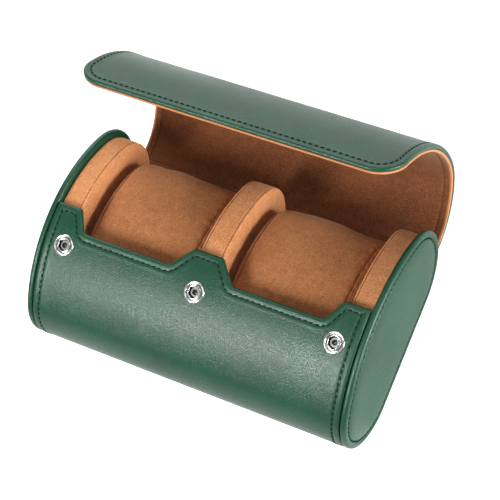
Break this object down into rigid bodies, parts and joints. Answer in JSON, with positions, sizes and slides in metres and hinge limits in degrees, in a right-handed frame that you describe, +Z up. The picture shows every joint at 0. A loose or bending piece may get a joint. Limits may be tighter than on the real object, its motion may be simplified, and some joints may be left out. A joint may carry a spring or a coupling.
{
  "type": "watch travel case",
  "caption": "Oval leather roll case with padded end caps, a curved snap-down lid on a leather hinge, a suede lining and loose pillows between fixed pads.",
  "frame": {"origin": "the middle of the case's flat bottom, on the surface that it stands on", "axes": "+X along the case to its right-hand cap, +Y to the hinge at the back, +Z up"},
  "size_m": [0.1774, 0.1442, 0.1021],
  "materials": {
    "cover_leather": "smooth, satin",
    "suede": "napped, matt",
    "board": "matt",
    "foam": "matt",
    "plated_steel": "polished"
  },
  "bodies": {
    "case": {"shell_cover": "cover_leather", "shell_board": "board", "shell_lining": "suede", "hinge_leather": "cover_leather", "hinge_lining": "suede", "left_cap_cover": "cover_leather", "left_cap_board": "board", "left_cap_padding": "foam", "right_cap_cover": "cover_leather", "right_cap_board": "board", "right_cap_padding": "foam", "left_end_pad": "suede", "left_pad_foam": "foam", "right_end_pad": "suede", "right_pad_foam": "foam", "centre_divider": "suede", "divider_board": "board", "snap_sockets": "plated_steel", "socket_rivets": "plated_steel"},
    "lid": {"lid_cover": "cover_leather", "lid_board": "board", "lid_lining": "suede", "snap_studs": "plated_steel", "stud_rivets": "plated_steel"},
    "left_pillow": {"left_pillow_cover": "suede", "left_pillow_filling": "foam"},
    "right_pillow": {"right_pillow_cover": "suede", "right_pillow_filling": "foam"}
  },
  "joints": [
    {"name": "lid_hinge", "type": "hinge", "parent": "case", "child": "lid", "pos_m": [0, 0.0427, 0.00529], "axis": [1, 0, 0], "range_deg": [0, 66], "deforming": ["hinge_leather", "hinge_lining"]},
    {"name": "left_pillow_lift", "type": "slide", "parent": "case", "child": "left_pillow", "axis": [0, 0, 1], "range_m": [0, 0.005]},
    {"name": "right_pillow_lift", "type": "slide", "parent": "case", "child": "right_pillow", "axis": [0, 0, 1], "range_m": [0, 0.005]}
  ]
}
